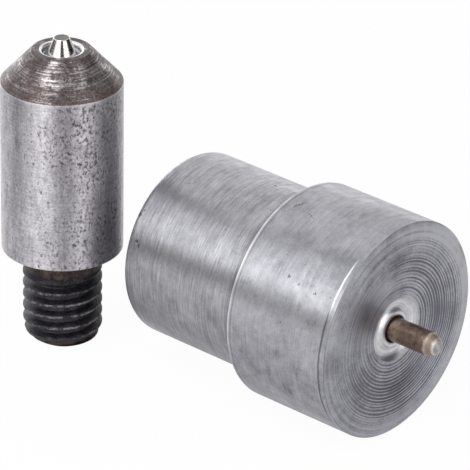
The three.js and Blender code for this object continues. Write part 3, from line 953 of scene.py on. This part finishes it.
# The groove's rounded lip is painted near white, as a painted highlight.
lip_finish = burnished_steel("lip_painted_highlight", "#e8e8ec", "#fcfcfd", 0.45)
crater_finish = burnished_steel("burnished_crater", "#9c9ca2", "#cfcfd4", 0.42)
nose_finish = burnished_steel("polished_nose", "#c0bbb7", "#e6e1dc", 0.28)
end_finish = burnished_steel("tarnished_nose_end", "#605e60", "#8e8c8d", 0.5)
punch = turned("punch_turned", [
    (shank_oxide(), shank_outline),
    (ground_steel(), body_outline),
    (scaled_steel(), cone_outline),
    (lip_finish, lip_outline),
    (crater_finish, crater_outline),
    (nose_finish, nose_outline),
    (end_finish, nose_end),
], sides=192, axis=punch_axis, relief=shank_relief)
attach(punch, "punch")
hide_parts("punch")

# The floor: a wide sheet of matt white board, a hair below the tools. It shows white to the eye
# and in the metal, and still takes the soft shadows of the tools.
floor_drop = 0.02


def light_for(tree, direct, mirrored, other=0.0):
    """How much something shines: for the eye, for what the metal mirrors, and for the rest."""
    ray = add(tree, "LightPath")
    shine = other
    for kind, amount in (("Camera", direct), ("Transmission", direct), ("Glossy", mirrored)):
        links = {0: ray.outputs["Is " + kind + " Ray"], 1: amount}
        asked = add(tree, "Math", links, operation="MULTIPLY").outputs[0]
        shine = add(tree, "Math", {0: asked, 1: shine}, operation="MAXIMUM").outputs[0]
    return shine


board_white, board_tree, board_output = new_material("matt_white_board")
matt = add(board_tree, "BsdfDiffuse", {"Color": linear("#f0f0f0")}).outputs[0]
glow = add(board_tree, "Emission", {"Color": (1, 1, 1, 1), "Strength": 1.0}).outputs[0]
share = light_for(board_tree, direct=0.96, mirrored=0.2)
board_mix = add(board_tree, "MixShader", {0: share, 1: matt, 2: glow})
board_tree.links.new(board_mix.outputs[0], board_output.inputs[0])
board = bmesh.new()
bmesh.ops.create_grid(board, x_segments=8, y_segments=8, size=1.5)
floor = piece_of(
    "floor_board", board, Matrix.Translation((0, 0, -floor_drop * MM)), [board_white]
)

# The light: a white room that the metal mirrors, soft boxes at the left, above, at the right and
# behind, and matt black cards between them that put the dark bands into the steel.
light_distance = 600
card_distance = 660
beside_punch = (-18.2, -6.1, 30)
world = bpy.data.worlds.new("white_room")
bpy.context.scene.world = world
world.use_nodes = True
world.node_tree.nodes.clear()
level = light_for(world.node_tree, direct=1.0, mirrored=0.95, other=0.6)
room = add(world.node_tree, "Background", {"Color": (1, 1, 1, 1), "Strength": level})
add(world.node_tree, "OutputWorld", {0: room.outputs[0]})


def facing(azimuth, elevation, distance, about=(0, 0, 0)):
    """A place seen from a point at these degrees, turned to look back at it, all in mm."""
    a, e = math.radians(azimuth), math.radians(elevation)
    out = Vector((math.cos(a) * math.cos(e), math.sin(a) * math.cos(e), math.sin(e)))
    turn = out.to_track_quat("Z", "Y").to_matrix().to_4x4()
    return Matrix.Translation((Vector(about) + out * distance) * MM) @ turn


def across(degrees, distance):
    """The width in mm that something this many degrees wide has at this distance."""
    return 2 * distance * math.tan(math.radians(degrees / 2))


# Each lamp looks at the tools from an azimuth and elevation, and is so many degrees wide and
# high. The last number is its radiance.
for name, azimuth, elevation, wide, high, radiance in (
    ("soft_box_left", -106, 33, 84, 26, 1.35),
    ("soft_box_low", -81, 8, 26, 24, 3.5),
    ("soft_box_top", -83, 57, 20, 16, 7.0),
    ("soft_box_right", -5, 12, 30, 34, 3.5),
    ("strip_behind", 125, 8, 90, 14, 0.8),
    ("soft_box_back_left", 164, 6, 40, 20, 2.0),
):
    light = bpy.data.lights.new(name, "AREA")
    light.shape = "RECTANGLE"
    light.size = across(wide, light_distance) * MM
    light.size_y = across(high, light_distance) * MM
    light.energy = radiance * light.size * light.size_y * math.pi
    lamp = bpy.data.objects.new(name, light)
    bpy.context.scene.collection.objects.link(lamp)
    lamp.matrix_world = facing(azimuth, elevation, light_distance)

card_black, card_tree, card_output = new_material("matt_black_card")
card_matt = add(card_tree, "BsdfDiffuse", {"Color": linear("#101010")})
card_tree.links.new(card_matt.outputs[0], card_output.inputs[0])


def black_card(name, place, wide, high):
    """A matt black card, wide and high in mm, that the camera doesn't see and that shows only in
    the metal."""
    card = bmesh.new()
    bmesh.ops.create_grid(card, x_segments=2, y_segments=2, size=0.5)
    sized = place @ Matrix.Diagonal((wide * MM, high * MM, 1, 1))
    piece = piece_of(name, card, sized, [card_black])
    piece.visible_camera = False
    piece.visible_shadow = False
    piece.visible_diffuse = False


for name, azimuth, elevation, wide, high in (
    ("black_card_left", -148, 7, 70, 19),
    ("black_card_right", 55, 24, 60, 56),
    ("black_card_top", -90, 73, 100, 4),
):
    place = facing(azimuth, elevation, card_distance)
    black_card(name, place, across(wide, card_distance), across(high, card_distance))
black_card("black_card_by_punch", facing(-126, 0, 25, beside_punch), 5, 48)
black_card("black_card_front", facing(-42, 0, 60, beside_punch), 36, 120)
upright = Matrix.Rotation(math.pi / 2, 4, "X")
for name, place, turn, wide, high in (
    ("black_card_on_floor", (1, 20, 0.2), Matrix.Identity(4), 30, 28),
    ("black_card_by_die", (-27, -32, 17), upright, 46, 6),
    ("black_card_behind", (2, 27, 5), upright, 28, 10),
):
    black_card(name, Matrix.Translation(Vector(place) * MM) @ turn, wide, high)

# The camera stands to the right of the die's side, nearly half a metre away, and looks down on
# both tools through a long lens. It is held a little askew.
view_azimuth = -48.06
view_elevation = 26.573
view_roll = 0.016
view_distance = 457.07
view_aim = (-20.13, 21.66, 0)
focal_pixels = 4370.8
frame_pixels = 470
camera_data = bpy.data.cameras.new("camera")
camera_data.sensor_width = 36
camera_data.lens = focal_pixels * camera_data.sensor_width / frame_pixels
camera_data.clip_start = 0.01
camera_data.clip_end = 10
camera = bpy.data.objects.new("camera", camera_data)
bpy.context.scene.collection.objects.link(camera)
upright_camera = facing(view_azimuth, view_elevation, view_distance, view_aim)
camera.matrix_world = upright_camera @ Matrix.Rotation(view_roll, 4, "Z")
bpy.context.scene.camera = camera
bpy.context.scene.view_settings.view_transform = "Standard"
